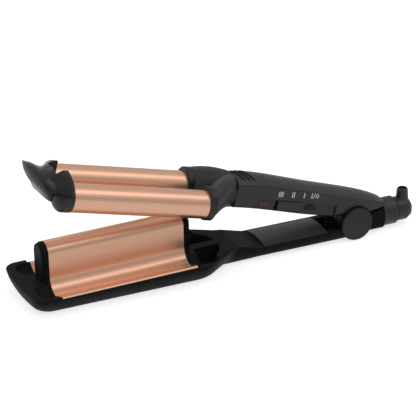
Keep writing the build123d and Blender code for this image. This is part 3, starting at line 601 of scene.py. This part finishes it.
control_marks()
handle_seam()
spring_coil()
hinge_cap_relief()


# ------------------------------------------------------------------ floor, light and camera

FLOOR_HALF_SIZE = 6.0
# A hair below the feet, so that the two never share a face
FLOOR_Z = -0.0004


def pale_floor_material():
    """White to the camera with a soft shadow, a grey table to reflections, and dark to diffuse light."""
    made, tree = material("pale_floor")
    ray = add(tree, "ShaderNodeLightPath")
    glow = add(tree, "ShaderNodeEmission", {"Color": grey(1.0), "Strength": 0.72})
    shade = add(tree, "ShaderNodeBsdfDiffuse", {"Color": grey(0.5)})
    shown = add(tree, "ShaderNodeAddShader", {0: glow, 1: shade})
    table = add(tree, "ShaderNodeEmission", {"Color": grey(1.0), "Strength": 0.75})
    dark = add(tree, "ShaderNodeEmission", {"Color": grey(1.0), "Strength": 0.03})
    unseen = add(tree, "ShaderNodeMixShader", {"Fac": ray.outputs["Is Glossy Ray"], 1: dark, 2: table})
    surface = add(tree, "ShaderNodeMixShader", {"Fac": ray.outputs["Is Camera Ray"], 1: unseen, 2: shown})
    add(tree, "ShaderNodeOutputMaterial", {"Surface": surface})
    return made


def pale_floor():
    """The floor under the waver."""
    grid = bmesh.new()
    bmesh.ops.create_grid(
        grid, x_segments=8, y_segments=8, size=FLOOR_HALF_SIZE, matrix=Matrix.Translation((0, 0, FLOOR_Z))
    )
    object_of("floor", grid, pale_floor_material())


def aimed(name, data, place, direction):
    """A lamp or camera at a place, looking along a direction."""
    made = bpy.data.objects.new(name, data)
    made.location = place
    made.rotation_mode = "QUATERNION"
    made.rotation_quaternion = direction.to_track_quat("-Z", "Y")
    scene.collection.objects.link(made)
    return made


def softbox(name, place, target, size, power):
    """A plain rectangular lamp, aimed at a point."""
    lamp = bpy.data.lights.new(name, "AREA")
    lamp.shape = "RECTANGLE"
    lamp.size, lamp.size_y = size
    lamp.energy = power
    lamp.spread = math.radians(160)
    aimed(name, lamp, place, Vector(target) - Vector(place))


# Grey of the room that metal and gloss mirror, by height: 0 is straight down, 0.5 level and 1 straight up.
# A light band lies just below level, with a dim wall above it and a lighter ceiling.
ROOM_BANDS = (
    (0.0, 0.30),
    (0.16, 0.32),
    (0.26, 0.40),
    (0.38, 0.70),
    (0.5, 0.62),
    (0.56, 0.40),
    (0.66, 0.34),
    (0.72, 0.45),
    (0.85, 0.5),
    (1.0, 0.45),
)


def studio_world():
    """White to the camera and through glass, banded to reflections, and bright above for dull surfaces."""
    world = bpy.data.worlds.new("studio")
    world.use_nodes = True
    scene.world = world
    tree = world.node_tree
    tree.nodes.clear()
    ray = add(tree, "ShaderNodeLightPath")
    direction = add(tree, "ShaderNodeTexCoord").outputs["Generated"]
    height = add(tree, "ShaderNodeSeparateXYZ", {"Vector": direction}).outputs["Z"]
    level = add(tree, "ShaderNodeMapRange", {"Value": height, "From Min": -1.0, "From Max": 1.0})
    room = [(position, grey(value)) for position, value in ROOM_BANDS]
    bands = add(tree, "ShaderNodeValToRGB", {"Fac": level}, stops=room)
    overhead = add(tree, "ShaderNodeMapRange", {"Value": height, "From Min": 0.0, "From Max": 0.7})
    dome = ((0.0, linear("#0C0C0C")), (1.0, linear("#FFFFFF")))
    soft = add(tree, "ShaderNodeValToRGB", {"Fac": overhead}, stops=dome)
    studio = add(tree, "ShaderNodeBackground", {"Color": soft, "Strength": 1.0})
    mirrored = add(tree, "ShaderNodeBackground", {"Color": bands, "Strength": 1.0})
    backdrop = add(tree, "ShaderNodeBackground", {"Color": grey(1.0), "Strength": 1.0})
    unseen = add(tree, "ShaderNodeMixShader", {"Fac": ray.outputs["Is Glossy Ray"], 1: studio, 2: mirrored})
    seen = add(
        tree,
        "ShaderNodeMath",
        {0: ray.outputs["Is Camera Ray"], 1: ray.outputs["Is Transmission Ray"]},
        operation="MAXIMUM",
    )
    surface = add(tree, "ShaderNodeMixShader", {"Fac": seen, 1: unseen, 2: backdrop})
    add(tree, "ShaderNodeOutputWorld", {"Surface": surface})


# The camera looks at this point of the open waver, from this side
CAMERA_TARGET = Vector((0.0735, 0.0, 0.026))
CAMERA_SIDE = Vector((-0.3905, -0.8124, 0.4330)).normalized()
CAMERA_DISTANCE = 1.7


def product_camera():
    """A long lens from the front left and above, shifted so that the waver fills the frame."""
    data = bpy.data.cameras.new("camera")
    data.sensor_width = 36.0
    data.lens = 185.06
    data.shift_x = 0.0268
    data.shift_y = 0.0571
    data.clip_start = 0.1
    data.clip_end = 20.0
    scene.camera = aimed("camera", data, CAMERA_TARGET + CAMERA_SIDE * CAMERA_DISTANCE, -CAMERA_SIDE)


pale_floor()
# A long overhead strip on the camera's side draws the bright band along the barrels
softbox("key", place=(0.42, -0.46, 0.86), target=(0.06, 0, 0.04), size=(1.3, 0.4), power=1.2)
# A dimmer strip behind lights the backs of the arms
softbox("rim", place=(0.1, 0.85, 0.75), target=(0.0, 0, 0.05), size=(0.9, 0.25), power=0.3)
studio_world()
product_camera()
scene.view_settings.view_transform = "Standard"
